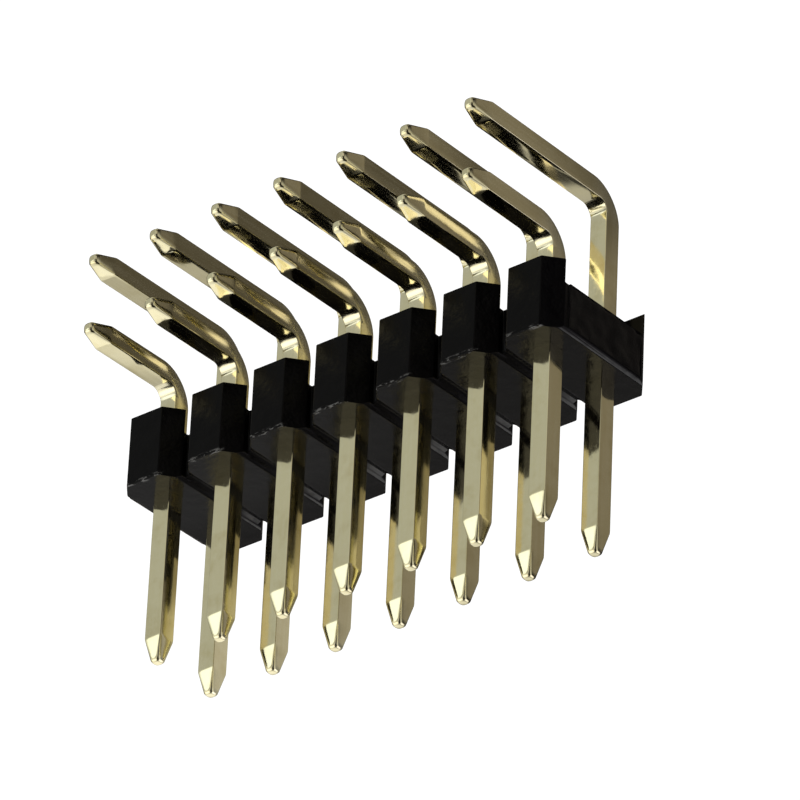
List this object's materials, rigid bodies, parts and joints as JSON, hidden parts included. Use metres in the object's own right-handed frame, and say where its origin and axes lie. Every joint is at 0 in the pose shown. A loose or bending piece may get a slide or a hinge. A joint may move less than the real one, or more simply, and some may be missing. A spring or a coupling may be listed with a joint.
{
  "type": "right-angle pin header strip",
  "caption": "Right-angle pin header: square gold-plated pins in two rows, bent at the solder end, held in one black moulded housing.",
  "frame": {"origin": "middle of the long back face of the housing that the loose strip lies on", "axes": "X along the strip, -Y along the mating pins, +Z along the solder tails, away from the surface it lies on"},
  "size_m": [0.0176, 0.013, 0.0081],
  "materials": {
    "housing_plastic": "moulded black plastic with a soft gloss",
    "pin_gold": "thin pale gold plating, mirror bright"
  },
  "bodies": {
    "root": {"housing": "housing_plastic", "inner_pin_1": "pin_gold", "inner_pin_2": "pin_gold", "inner_pin_3": "pin_gold", "inner_pin_4": "pin_gold", "inner_pin_5": "pin_gold", "inner_pin_6": "pin_gold", "inner_pin_7": "pin_gold", "outer_pin_1": "pin_gold", "outer_pin_2": "pin_gold", "outer_pin_3": "pin_gold", "outer_pin_4": "pin_gold", "outer_pin_5": "pin_gold", "outer_pin_6": "pin_gold", "outer_pin_7": "pin_gold"}
  },
  "joints": []
}
